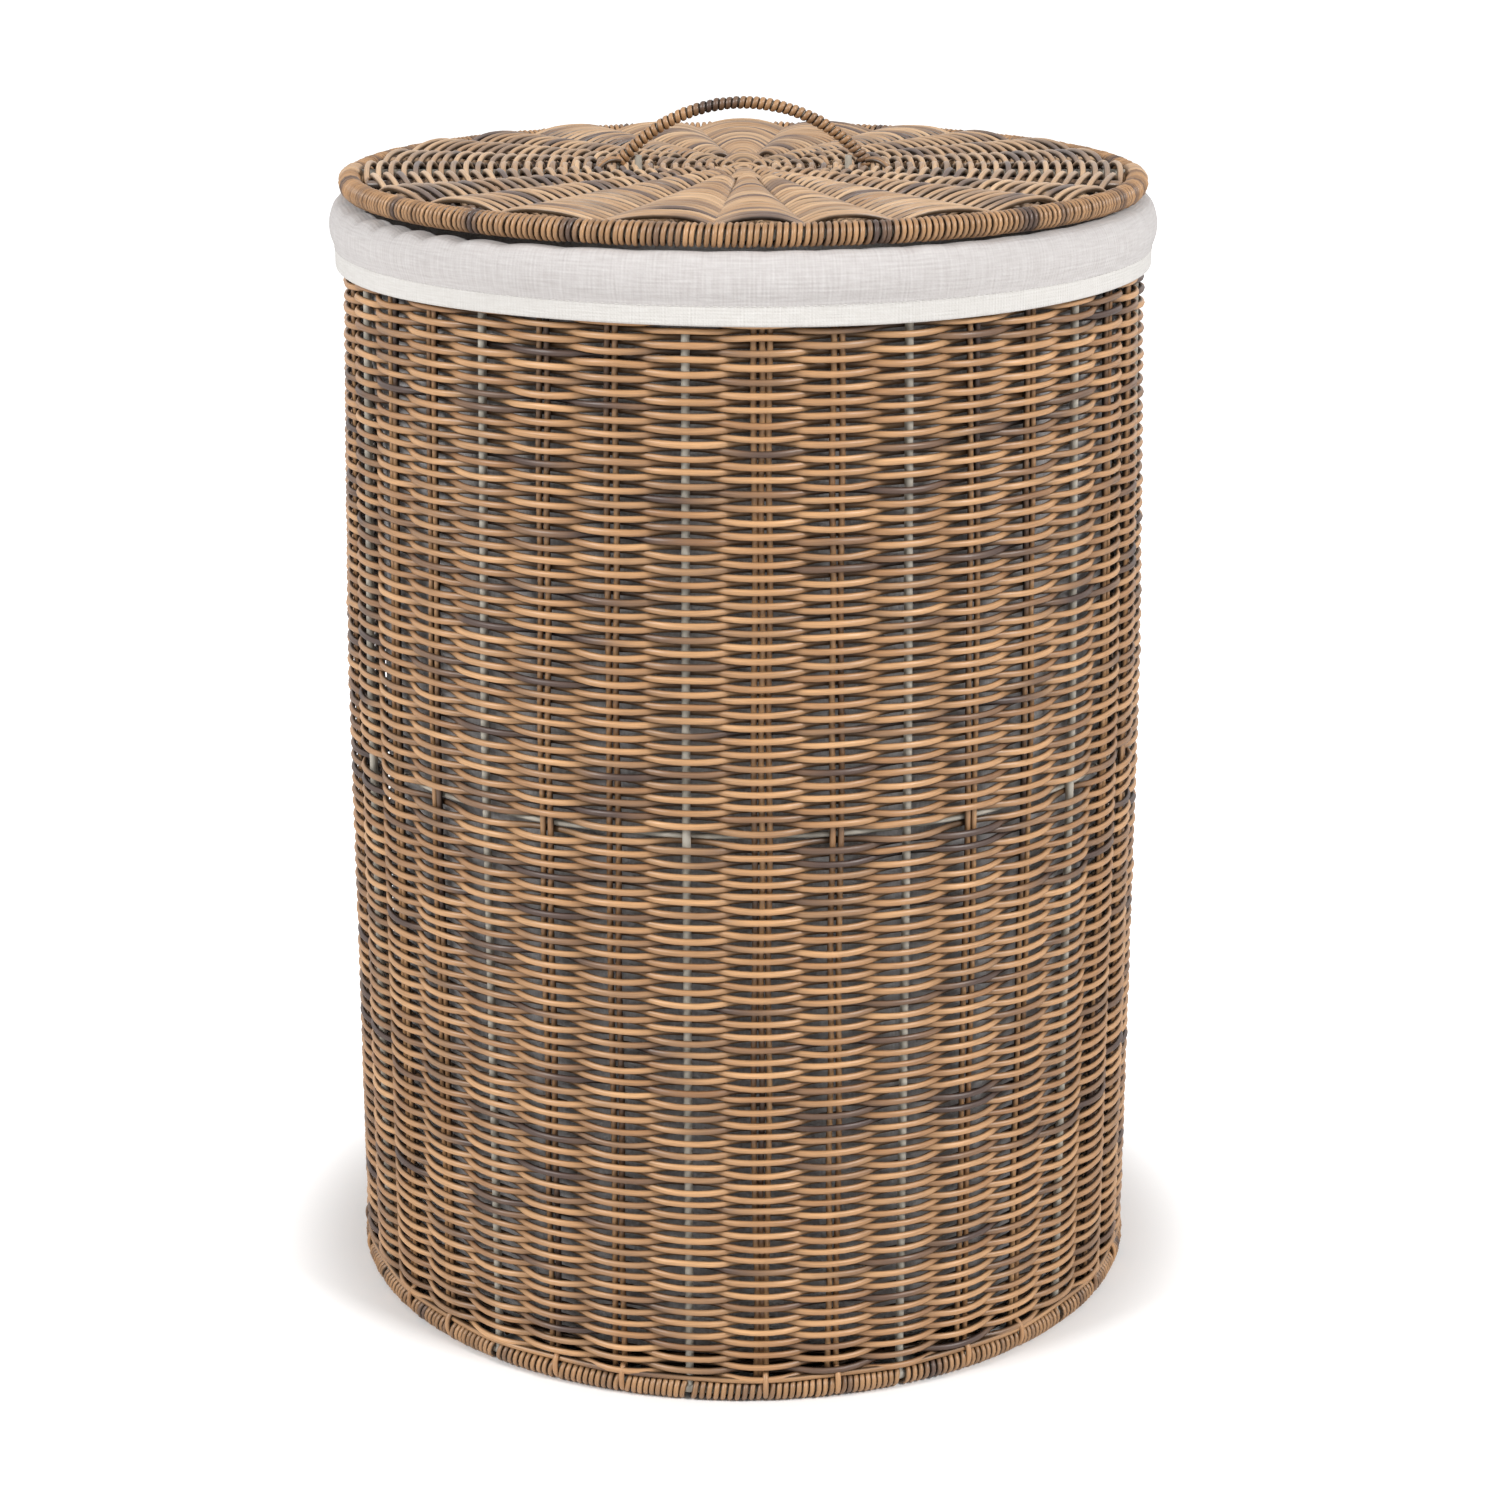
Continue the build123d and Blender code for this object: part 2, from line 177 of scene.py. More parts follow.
def plastic_cane(name, light, deep, streak, streak_share, streak_length, face):
    """Drawn polyethylene cane, coloured in the melt: a brown that drifts from light to deep over some 100 mm
    of its length, with darker purple-brown stretches, streak, of about streak_length metres that cover about
    streak_share of it, and pressed fibres half a millimetre wide. The stain has worn pale on the side that
    faces out, a share of face of the way round to either side of its middle, and stays dark where canes lie
    against each other. It gives the eye a satin highlight that the fibres break up."""
    material, tree, shader = new_material(name, Roughness=0.4, IOR=1.5)
    uv = add_node(tree, "ShaderNodeUVMap", uv_map="along").outputs[0]
    split = add_node(tree, "ShaderNodeSeparateXYZ", {0: uv})
    length, around = split.outputs[0], split.outputs[1]
    row = add_node(tree, "ShaderNodeMath", {0: around}, operation="FLOOR").outputs[0]

    def length_noise(wavelength, row_step, detail):
        """Noise that varies along a cane over the wavelength in metres, and is new on every cane."""
        scaled = add_node(tree, "ShaderNodeMath", {0: length, 1: 1 / wavelength}, operation="MULTIPLY")
        apart = add_node(tree, "ShaderNodeMath", {0: row, 1: row_step}, operation="MULTIPLY")
        where = add_node(tree, "ShaderNodeCombineXYZ", {0: scaled.outputs[0], 1: apart.outputs[0]})
        noise = {"Vector": where.outputs[0], "Scale": 1.0, "Detail": detail}
        return add_node(tree, "ShaderNodeTexNoise", noise).outputs["Fac"]

    slow = length_noise(0.1, 3.7, 1.0)
    drift = add_node(tree, "ShaderNodeMapRange", {"Value": slow, 1: 0.3, 2: 0.7}).outputs[0]
    body = add_node(tree, "ShaderNodeMix", {0: drift, 6: linear(deep), 7: linear(light)}, data_type="RGBA")
    # the larger the share, the lower the noise value from which a stretch is dark
    edge = 0.64 - 0.5 * streak_share
    patchy = length_noise(streak_length, 5.3, 2.0)
    stretch = add_node(tree, "ShaderNodeMapRange", {"Value": patchy, 1: edge, 2: edge + 0.14})
    browns = {0: stretch.outputs[0], 6: body.outputs[2], 7: linear(streak)}
    streaked = add_node(tree, "ShaderNodeMix", browns, data_type="RGBA")
    # fibres are 12 mm long, and 18 stand side by side round a cane
    lengthways = add_node(tree, "ShaderNodeMath", {0: length, 1: 1 / 0.012}, operation="MULTIPLY")
    widthways = add_node(tree, "ShaderNodeMath", {0: around, 1: 18.0}, operation="MULTIPLY")
    where = add_node(tree, "ShaderNodeCombineXYZ", {0: lengthways.outputs[0], 1: widthways.outputs[0]})
    noise = {"Vector": where.outputs[0], "Scale": 1.0, "Detail": 2.0}
    fibre = add_node(tree, "ShaderNodeTexNoise", noise).outputs["Fac"]
    tint = add_node(tree, "ShaderNodeMapRange", {"Value": fibre, 1: 0.3, 2: 0.7, 3: 0.82, 4: 1.15}).outputs[0]
    share = add_node(tree, "ShaderNodeMath", {0: around}, operation="FRACT").outputs[0]
    aside = add_node(tree, "ShaderNodeMath", {0: share, 1: 0.5}, operation="SUBTRACT").outputs[0]
    aside = add_node(tree, "ShaderNodeMath", {0: aside}, operation="ABSOLUTE").outputs[0]
    worn = add_node(tree, "ShaderNodeMapRange", {"Value": aside, 1: face, 2: face + 0.13, 3: 1.05, 4: 0.2},
                    interpolation_type="SMOOTHSTEP").outputs[0]
    worn = add_node(tree, "ShaderNodeMath", {0: worn, 1: tint}, operation="MULTIPLY").outputs[0]
    shade = add_node(tree, "ShaderNodeVectorMath", {0: streaked.outputs[2], "Scale": worn}, operation="SCALE")
    tree.links.new(shade.outputs[0], shader.inputs["Base Color"])
    bump = add_node(tree, "ShaderNodeBump", {"Height": fibre, "Strength": 0.5, "Distance": 0.0002})
    tree.links.new(bump.outputs[0], shader.inputs["Normal"])
    return material


def hoop_of(node):
    """Centre-line radius, height and rod radius of a CAD hoop, in metres, from its box."""
    low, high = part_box(node)
    rod = (high[2] - low[2]) / 2
    return high[0] - rod, (low[2] + high[2]) / 2, rod


def upright_radius(height):
    """Radius of the circle the uprights stand on: a straight line from the base hoop to the bend, and another
    from there to the rim hoop."""
    return np.interp(height, [base_hoop_z, UPRIGHT_BEND_Z, rim_hoop_z],
                     [base_hoop_radius, UPRIGHT_BEND_RADIUS, rim_hoop_radius])


def ring_points(radius, angle, height):
    """Points at a radius, angle and height about the vertical axis."""
    return np.stack(np.broadcast_arrays(radius * np.cos(angle), radius * np.sin(angle), height), -1)


def stain_inwards(material):
    """Stain that stays where a cane dips between its neighbours: the colour falls to 0.3 of itself on the way
    from 3 mm outside the uprights' circle to 2 mm inside it. The circle's radius is the lower of two straight
    lines over height, which meet at the bend."""
    tree = material.node_tree
    colour = tree.nodes["Principled BSDF"].inputs["Base Color"]
    place = add_node(tree, "ShaderNodeNewGeometry").outputs["Position"]
    height = add_node(tree, "ShaderNodeSeparateXYZ", {0: place}).outputs[2]
    flat = add_node(tree, "ShaderNodeVectorMath", {0: place, 1: (1, 1, 0)}, operation="MULTIPLY").outputs[0]
    radius = add_node(tree, "ShaderNodeVectorMath", {0: flat}, operation="LENGTH").outputs["Value"]
    ends = {1: base_hoop_z, 2: UPRIGHT_BEND_Z, 3: base_hoop_radius, 4: UPRIGHT_BEND_RADIUS}
    lower_run = add_node(tree, "ShaderNodeMapRange", {"Value": height, **ends}, clamp=False).outputs[0]
    ends = {1: UPRIGHT_BEND_Z, 2: rim_hoop_z, 3: UPRIGHT_BEND_RADIUS, 4: rim_hoop_radius}
    upper_run = add_node(tree, "ShaderNodeMapRange", {"Value": height, **ends}, clamp=False).outputs[0]
    circle = add_node(tree, "ShaderNodeMath", {0: lower_run, 1: upper_run}, operation="MINIMUM").outputs[0]
    outside = add_node(tree, "ShaderNodeMath", {0: radius, 1: circle}, operation="SUBTRACT").outputs[0]
    fade = {"Value": outside, 1: -0.002, 2: 0.003, 3: 0.3, 4: 1.0}
    stain = add_node(tree, "ShaderNodeMapRange", fade).outputs[0]
    worn = colour.links[0].from_socket
    stained = add_node(tree, "ShaderNodeVectorMath", {0: worn, "Scale": stain}, operation="SCALE")
    tree.links.new(stained.outputs[0], colour)


UPRIGHT_BEND_Z = 0.330
UPRIGHT_BEND_RADIUS = 0.20065
UPRIGHT_COUNT = 36
UPRIGHT_STEP = FULL_TURN / UPRIGHT_COUNT
FIRST_BAR_ANGLE = np.radians(-7.5)
CANE_RADIUS = 0.0015
PAIR_OFFSET = 0.00205
base_hoop_radius, base_hoop_z, hoop_rod_radius = hoop_of("frame_base_hoop")
rim_hoop_radius, rim_hoop_z, _ = hoop_of("frame_top_hoop")
wall_low, wall_high = (corner[2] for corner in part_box("wall_weave"))

# nearest the front, a third cane is pushed in between two
TRIPLE_ANGLE = FIRST_BAR_ANGLE + UPRIGHT_STEP * 28
TRIPLE_OFFSET = 0.0034
wall_cane = plastic_cane("honey brown plastic cane", "#CA9D70", "#9A714D", "#4E3C34", 0.24, 0.2, 0.15)
stain_inwards(wall_cane)
places = np.arange(UPRIGHT_COUNT)
pair_angles = FIRST_BAR_ANGLE + UPRIGHT_STEP * places[places % 3 != 0]
height = np.linspace(wall_low + 0.0005, wall_high + 0.001, 44)
stake_angle = np.append(np.repeat(pair_angles, 2), TRIPLE_ANGLE)[:, None]
stake_side = np.append(np.tile([-PAIR_OFFSET, PAIR_OFFSET], len(pair_angles)), 0.0)[:, None]
opened = np.clip((height - 0.06) / 0.03, 0, 1) * (np.abs(stake_angle - TRIPLE_ANGLE) < UPRIGHT_STEP / 2)
stake_side = stake_side * (1 + (TRIPLE_OFFSET / PAIR_OFFSET - 1) * opened)
swaying = (len(stake_side), 1)
wander = 0.0004 * np.sin(height * chance.uniform(25, 60, swaying) + chance.uniform(0, FULL_TURN, swaying))
stake_radius = upright_radius(height)[None] + 0.0001 * np.sin(height * 300 + stake_angle * 50)
stake_turn = stake_angle + (stake_side + wander) / stake_radius
stakes = ring_points(stake_radius, stake_turn, height[None])
stake_out = ring_points(1.0, stake_turn, np.zeros_like(stake_turn))
new_piece("wall_uprights", *cane_tubes(stakes, stake_out, CANE_RADIUS, CANE_RADIUS, 10, False),
          wall_cane, "basket", "wall_cane", "wall_stakes")


# ---------------------------------------------------------------------------------------------------
# Woven wall: rounds of the same cane, each over one upright and under the next, the next round the other way
# about, beaten down until they touch. One round is left out where the mid-height steel hoop runs inside.

WEAVE_PITCH = 0.0032
WEAVE_SWING = 0.0034
ROW_WANDER = 0.0004
CREST_SHIFT = 0.00035
CREST_DEPTH_SHIFT = 0.00016
CANE_SIZE_SPREAD = 0.04
ROUND_TALL = 1.1
WALL_STEPS = 252
WALL_BANDS = 4


def flattened(wave):
    """A wave from -1 to 1 with its crests a little flattened: sin(1.15 wave) / sin(1.15)."""
    return np.sin(1.15 * wave) / np.sin(1.15)


def weave_swing(angle, row, waves):
    """How far a round stands out, from -1 to 1: flattened of a cosine over two uprights, turned over on every
    other row."""
    return flattened(np.cos(waves * (angle - FIRST_BAR_ANGLE) + np.pi * row))


def crossing_values(spread, rows, crossings, steps):
    """One random value for each row at each upright, given to all the steps nearest to that upright."""
    values = chance.normal(0, spread, (rows, crossings))
    nearest = np.round(np.arange(steps) * crossings / steps).astype(int) % crossings
    return values[:, nearest]


def slow_drift(angle, height, spread):
    """Rows wander together: spread times a sum of products of two slow cosines, one round the basket and one
    up it, each with a random start."""
    total = 0
    for lobes, per_metre in ((1, 9.0), (2, 23.0), (3, 14.0), (5, 31.0)):
        phase = chance.uniform(0, FULL_TURN, 2)
        total = total + spread * np.cos(lobes * angle + phase[0]) * np.cos(per_metre * height + phase[1])
    return total


_, mid_hoop_z, _ = hoop_of("frame_mid_hoop")
first_row_z = mid_hoop_z - WEAVE_PITCH * np.floor((mid_hoop_z - wall_low - CANE_RADIUS) / WEAVE_PITCH)
row_z = np.arange(first_row_z, wall_high - CANE_RADIUS, WEAVE_PITCH)
row_number = np.arange(len(row_z))
hoop_row = np.abs(row_z - mid_hoop_z) < WEAVE_PITCH / 2
row_z, row_number = row_z[~hoop_row], row_number[~hoop_row]
angle = FIRST_BAR_ANGLE + FULL_TURN * np.arange(WALL_STEPS)[None] / WALL_STEPS
swing = weave_swing(angle, row_number[:, None], UPRIGHT_COUNT // 2)
crest = np.abs(swing) ** 2
rows = len(row_z)
weave_z = row_z[:, None] + slow_drift(angle, row_z[:, None], ROW_WANDER)
weave_z = weave_z + crest * crossing_values(CREST_SHIFT, rows, UPRIGHT_COUNT, WALL_STEPS)
weave_radius = upright_radius(row_z)[:, None] + WEAVE_SWING * swing
weave_radius = weave_radius + crest * crossing_values(CREST_DEPTH_SHIFT, rows, UPRIGHT_COUNT, WALL_STEPS)
rounds = ring_points(weave_radius, angle, weave_z)
round_out = np.broadcast_to(ring_points(1.0, angle, 0.0 * angle), rounds.shape)
round_half = CANE_RADIUS * (1 + chance.normal(0, CANE_SIZE_SPREAD, (rows, 1)))
round_tall = ROUND_TALL * round_half
for band, members in enumerate(np.array_split(np.arange(rows), WALL_BANDS)):
    tubes = cane_tubes(rounds[members], round_out[members], round_half[members], round_tall[members], 8, True)
    new_piece(f"wall_weave_{band + 1}", *tubes, wall_cane, "basket", "wall_cane", "wall_weave")


# ---------------------------------------------------------------------------------------------------
# Wrapped hoops: plastic cane wound tightly, turn against turn, round the rim hoop and the base hoop. At every
# upright the base wrapping opens for a cane end that is bent down over the hoop, or for a steel bar's foot.

def spline(corners, steps):
    """A smooth line near its corner points: every short span is the cubic B-spline blend of four corners in
    turn, with the end corners held by being counted three times."""
    held = np.concatenate([corners[:1], corners[:1], corners, corners[-1:], corners[-1:]])
    where = np.linspace(0, len(held) - 3 - 1e-9, steps)
    span, part = where.astype(int), (where % 1)[:, None]
    second = 3 * part ** 3 - 6 * part ** 2 + 4
    third = -3 * part ** 3 + 3 * part ** 2 + 3 * part + 1
    blend = ((1 - part) ** 3, second, third, part ** 3)
    return sum(weight * held[span + place] for place, weight in enumerate(blend)) / 6


WRAP_HALF = 0.0015
WRAP_PITCH = 0.0032
TURN_LEAN = 0.00022
TURN_LIFT = 0.00014


def turn_values(turns, spread, turn):
    """A random value for every turn of a coil, blended evenly from each turn to the next."""
    return np.interp(turn, np.arange(turns + 1), chance.normal(0, spread, turns + 1))


def hoop_coil(radius, height, coil_radius, turn, place_angle):
    """A coil round a level hoop: at each value of turn the section angle is 2 pi turn, and the point lies
    coil_radius from the hoop's centre line, which is at place_angle round the basket."""
    section = FULL_TURN * turn
    reach = radius + coil_radius * np.cos(section)
    path = ring_points(reach, place_angle, height + coil_radius * np.sin(section))
    out = ring_points(np.cos(section), place_angle, np.sin(section))
    return path[None], out[None]


def even_coil(radius, height, coil_radius, pitch, start=0.0, end=FULL_TURN, steps_per_turn=12):
    """An even coil between two angles of a hoop, whose turns differ a little in size and lean."""
    turns = int(round((end - start) * radius / pitch))
    turn = np.arange(turns * steps_per_turn) / steps_per_turn
    lean = turn_values(turns, TURN_LEAN, turn) / radius
    reach = coil_radius + turn_values(turns, TURN_LIFT, turn)
    return hoop_coil(radius, height, reach, turn, start + (end - start) * turn / turns + lean)


wrap_cane = plastic_cane("wound plastic cane", "#B88E65", "#8B6847", "#503E36", 0.26, 0.16, 0.08)
path, out = even_coil(rim_hoop_radius, rim_hoop_z, hoop_rod_radius + WRAP_HALF, WRAP_PITCH)
new_piece("rim_wrapping", *cane_tubes(path, out, WRAP_HALF, WRAP_HALF, 8, True),
          wrap_cane, "basket", "wrap_cane", "rim_wrap")

TURNS_PER_BAY = 10
STEPS_PER_TURN = 12
GAP_HALF = 0.0031
turns = UPRIGHT_COUNT * TURNS_PER_BAY
turn = np.arange(turns * STEPS_PER_TURN) / STEPS_PER_TURN
gap_place = UPRIGHT_STEP * np.arange(UPRIGHT_COUNT + 1)
gap_place[:-1] += np.where(places % 3 == 0, 0, PAIR_OFFSET / base_hoop_radius)
gap_edge = GAP_HALF / base_hoop_radius
knot_turn = TURNS_PER_BAY * np.arange(UPRIGHT_COUNT)
knot_turns = np.stack([knot_turn, knot_turn + TURNS_PER_BAY - 1], -1)
knot_angles = np.stack([gap_place[:-1] + gap_edge, gap_place[1:] - gap_edge], -1)
bay_angle = np.interp(turn, np.append(knot_turns.ravel(), turns),
                      np.append(knot_angles.ravel(), FULL_TURN + gap_edge))
reach = hoop_rod_radius + WRAP_HALF + turn_values(turns, TURN_LIFT, turn)
path, out = hoop_coil(base_hoop_radius, base_hoop_z, reach, turn, FIRST_BAR_ANGLE + bay_angle)
path[..., 2] = np.maximum(path[..., 2], WRAP_HALF)
new_piece("base_border_wrapping", *cane_tubes(path, out, WRAP_HALF, WRAP_HALF, 8, True),
          wrap_cane, "basket", "wrap_cane", "base_border_wrap")

# the ends' path over the border, as distance out from the hoop's centre line and height above it
END_STEPS = 26
OVER_BORDER = [[0.0005, 0.0098], [0.0038, 0.0078], [0.0049, 0.0045],
               [0.0045, 0.0005], [0.0031, -0.0026], [0.0005, -0.0036]]
end_angle = (pair_angles + PAIR_OFFSET / base_hoop_radius)[:, None]
out_and_up = spline(np.array(OVER_BORDER), END_STEPS)[None]
ends = ring_points(base_hoop_radius + out_and_up[..., 0], end_angle, base_hoop_z + out_and_up[..., 1])
end_out = ring_points(np.ones(END_STEPS), end_angle, 0.2)
new_piece("cane_ends_at_border", *cane_tubes(ends, end_out, CANE_RADIUS, CANE_RADIUS, 8, False),
          wall_cane, "basket", "wall_cane", "base_border_wrap")

RUN_STEPS = 504
run_angle = FULL_TURN * np.arange(RUN_STEPS)[None] / RUN_STEPS
run_swing = np.cos(UPRIGHT_COUNT // 2 * (run_angle - FIRST_BAR_ANGLE))
run_radius = base_hoop_radius + 0.0024 + 0.0006 * run_swing
run_z = base_hoop_z + hoop_rod_radius + 2 * WRAP_HALF + 0.0009 + 0.0003 * np.sin(9 * run_angle)
run = ring_points(run_radius, run_angle, run_z)
run_out = ring_points(1.0, run_angle, 0 * run_angle)
new_piece("border_top_cane", *cane_tubes(run, run_out, CANE_RADIUS, CANE_RADIUS, 8, True),
          wrap_cane, "basket", "wrap_cane", "base_border_wrap")


# ---------------------------------------------------------------------------------------------------
# Woven base: twelve spokes from the centre and twelve more added further out, with rounds of cane woven
# over and under them. It sits just above the steel cross, out of sight below the liner.

def spoke_tubes(node_z, half, starts, end, angles, skipped):
    """Straight canes at the angles about the vertical axis, every other one starting further out."""
    kept = np.array([place for place in range(len(angles)) if place not in skipped])
    spoke_angle = angles[kept][:, None]
    share = np.linspace(0, 1, 12)[None]
    start = np.where(kept % 2 == 0, starts[0], starts[1])[:, None]
    paths = ring_points(start + (end - start) * share, spoke_angle, node_z)
    up = np.broadcast_to([0.0, 0.0, 1.0], paths.shape)
    return cane_tubes(paths, up, half, half, 10, False)


def disc_rounds(radii, centre_z, swing_height, angles, steps, out_of_step):
    """Level rounds woven through spokes at the angles: each stays at its radius, and its height swings up
    over one spoke and down under the next. The crests are a little uneven, and each round is turned over
    against the last."""
    crossing = len(angles) * np.arange(steps)[None] / steps
    disc_angle = np.interp(crossing, np.arange(len(angles) + 1), np.append(angles, angles[0] + FULL_TURN))
    number = np.arange(len(radii))[:, None] + out_of_step
    swing = flattened(np.cos(np.pi * (crossing + number)))
    uneven = 1 + swing ** 2 * crossing_values(CREST_SPREAD, len(radii), len(angles), steps)
    drift = ROUND_DRIFT * np.cos(5 * disc_angle + chance.uniform(0, FULL_TURN, (len(radii), 1)))
    paths = ring_points(radii[:, None] + drift, disc_angle, centre_z + swing_height * swing * uneven)
    up = np.broadcast_to([0.0, 0.0, 1.0], paths.shape)
    return paths, up


CREST_SPREAD = 0.05
ROUND_DRIFT = 0.0002
BASE_SPOKES = 24
BASE_SPOKE_START = 0.012
ADDED_SPOKE_START = 0.044
BASE_FIRST_ROUND = 0.006
BASE_SWING = 0.0023
base_low, base_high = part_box("base_weave")
base_z = (base_low[2] + base_high[2]) / 2
base_starts = (BASE_SPOKE_START, ADDED_SPOKE_START)
base_angles = FIRST_BAR_ANGLE + FULL_TURN * np.arange(BASE_SPOKES) / BASE_SPOKES
new_piece("base_spoke_canes", *spoke_tubes(base_z, CANE_RADIUS, base_starts, base_high[0], base_angles, ()),
          wall_cane, "basket", "wall_cane", "base_spokes")
inner = np.arange(BASE_FIRST_ROUND, ADDED_SPOKE_START, WEAVE_PITCH)
outer = np.arange(ADDED_SPOKE_START + 0.002, base_high[0] - CANE_RADIUS, WEAVE_PITCH)
for name, radii, angles, steps in (("base_weave_inner", inner, base_angles[::2], 84),
                                   ("base_weave_outer", outer, base_angles, 168)):
    path, out = disc_rounds(radii, base_z, BASE_SWING, angles, steps, 0)
    new_piece(name, *cane_tubes(path, out, CANE_RADIUS, CANE_RADIUS, 6, True),
              wall_cane, "basket", "wall_cane", "base_weave")


# ---------------------------------------------------------------------------------------------------
# Liner: one wide strip of natural linen and cotton cloth sewn into a tube, hung inside the basket and turned
# out over the rim. The turned-out cuff puffs over the rim and puckers where the tube is wider than the rim.

def cloth_skin(points, thickness):
    """A thin closed wall from a grid of points that closes round the basket: the grid is set off by half the
    thickness both ways along its normals, and the two free edges are joined. points[s, a] runs s along the
    profile and a round the basket. UV is the distance along each in metres."""
    lines, steps = points.shape[:2]
    across = np.gradient(points, axis=0)
    around = np.roll(points, -1, 1) - np.roll(points, 1, 1)
    normal = np.cross(across, around)
    normal /= np.linalg.norm(normal, axis=2, keepdims=True)
    sheet = np.concatenate([points + normal * thickness / 2, (points - normal * thickness / 2)[::-1]])
    total = 2 * lines
    line, step = np.meshgrid(np.arange(total), np.arange(steps), indexing="ij")
    next_line, next_step = (line + 1) % total, (step + 1) % steps
    corners = [(line, step), (next_line, step), (next_line, next_step), (line, next_step)]
    quads = np.stack([a * steps + b for a, b in corners], -1).reshape(-1, 4)
    gap = np.linalg.norm(np.diff(points, axis=0), axis=2).mean(1)
    down = np.concatenate([[0.0], np.cumsum(gap)])
    down = np.concatenate([down, down[::-1], down[:1]])
    width = FULL_TURN * rim_hoop_radius
    uv_corners = [(line, step), (line + 1, step), (line + 1, step + 1), (line, step + 1)]
    uv = np.stack([np.stack([width * b / steps, down[a]], -1) for a, b in uv_corners], -2).reshape(-1, 2)
    return sheet.reshape(-1, 3), [quads], uv


def woven_cloth(name, colour, shadow, thread, slub):
    """Plain-weave cloth of undyed linen or cotton. Its threads are drawn thread metres apart, about twice the
    real distance, so that they show. Thick and thin stretches of thread, some 15 mm long, tint it from shadow
    to colour, and the smaller slub is, the more often it reaches either. Dry and matt, with the faint pale
    edge that loose fibres give."""
    finish = {"Roughness": 0.92, "Sheen_Weight": 0.25, "Sheen_Roughness": 0.5, "IOR": 1.45}
    material, tree, shader = new_material(name, **finish)
    uv = add_node(tree, "ShaderNodeUVMap", uv_map="along").outputs[0]
    threads = []
    for stretch in ((1 / 0.012, 1 / thread, 1.0), (1 / thread, 1 / 0.016, 1.0)):
        where = add_node(tree, "ShaderNodeMapping", {"Vector": uv, "Scale": stretch}).outputs[0]
        noise = {"Vector": where, "Scale": 1.0, "Detail": 1.0}
        threads.append(add_node(tree, "ShaderNodeTexNoise", noise).outputs["Fac"])
    tint = add_node(tree, "ShaderNodeMath", {0: threads[0], 1: threads[1]}, operation="ADD").outputs[0]
    share = add_node(tree, "ShaderNodeMapRange", {"Value": tint, 1: 1 - slub, 2: 1 + slub}).outputs[0]
    base = add_node(tree, "ShaderNodeMix", {0: share, 6: linear(shadow), 7: linear(colour)}, data_type="RGBA")
    tree.links.new(base.outputs[2], shader.inputs["Base Color"])
    # a wave texture of scale 1 repeats every pi / 10 metres
    wave = {"Vector": uv, "Scale": np.pi / 10 / (2 * thread), "Distortion": 0.6, "Detail": 1.0}
    warp = add_node(tree, "ShaderNodeTexWave", wave, bands_direction="X").outputs["Fac"]
    weft = add_node(tree, "ShaderNodeTexWave", wave, bands_direction="Y").outputs["Fac"]
    cross = add_node(tree, "ShaderNodeMath", {0: warp, 1: weft}, operation="MULTIPLY").outputs[0]
    relief = add_node(tree, "ShaderNodeMath", {0: cross, 1: tint}, operation="ADD").outputs[0]
    bump = add_node(tree, "ShaderNodeBump", {"Height": relief, "Strength": 0.35, "Distance": 0.0004})
    tree.links.new(bump.outputs[0], shader.inputs["Normal"])
    return material


CLOTH_THICKNESS = 0.0010
CLOTH_STEPS = 600
CUFF_LINES = 56
BAG_LINES = 20
LINER_SEAM_ANGLE = np.radians(90)
bag_low, bag_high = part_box("liner_bag")
_, cuff_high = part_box("liner_cuff")
hem_low, hem_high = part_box("liner_hem_band")
bag_radius = bag_high[0] - CLOTH_THICKNESS / 2 - 0.0001
crest_z = cuff_high[2] + 0.0004
hem_radius = hem_high[0] - 0.0012

liner_cloth = woven_cloth("natural linen cloth", "#CCC8C6", "#B7B1AF", 0.0010, 0.40)
cloth_angle = FULL_TURN * np.arange(CLOTH_STEPS)[None] / CLOTH_STEPS
bag_z = np.linspace(bag_low[2] + 0.001, rim_hoop_z - 0.022, BAG_LINES)
wall_line = np.stack([np.full(BAG_LINES, bag_radius), bag_z], -1)
fold_corners = np.array([
    [bag_radius, rim_hoop_z - 0.020],
    [bag_radius, rim_hoop_z - 0.008],
    [bag_radius + 0.0002, rim_hoop_z + 0.003],
    [bag_radius + 0.0014, crest_z - 0.0008],
    [rim_hoop_radius, crest_z + 0.0002],
    [rim_hoop_radius + 0.006, crest_z],
    [cuff_high[0] - 0.0018, crest_z - 0.0030],
    [cuff_high[0] + 0.0002, crest_z - 0.0105],
    [cuff_high[0] - 0.0006, crest_z - 0.0175],
    [hem_radius + 0.0002, hem_high[2]],
    [hem_radius, hem_low[2] + 0.001]])
fold_line = spline(fold_corners, CUFF_LINES)
profile = np.concatenate([wall_line, fold_line])
profile_r, profile_z = profile[:, :1], profile[:, 1:]

# how far out a line lies: 0 in the bag, 1 from the rim hoop's circle outwards
outside = np.clip((profile_r - bag_radius) / (rim_hoop_radius - bag_radius), 0, 1)
near_crest = np.clip((profile_z - crest_z + 0.0085) / 0.0075, 0, 1)
tip = np.clip((profile_z - crest_z + 0.0055) / 0.0045, 0, 1)
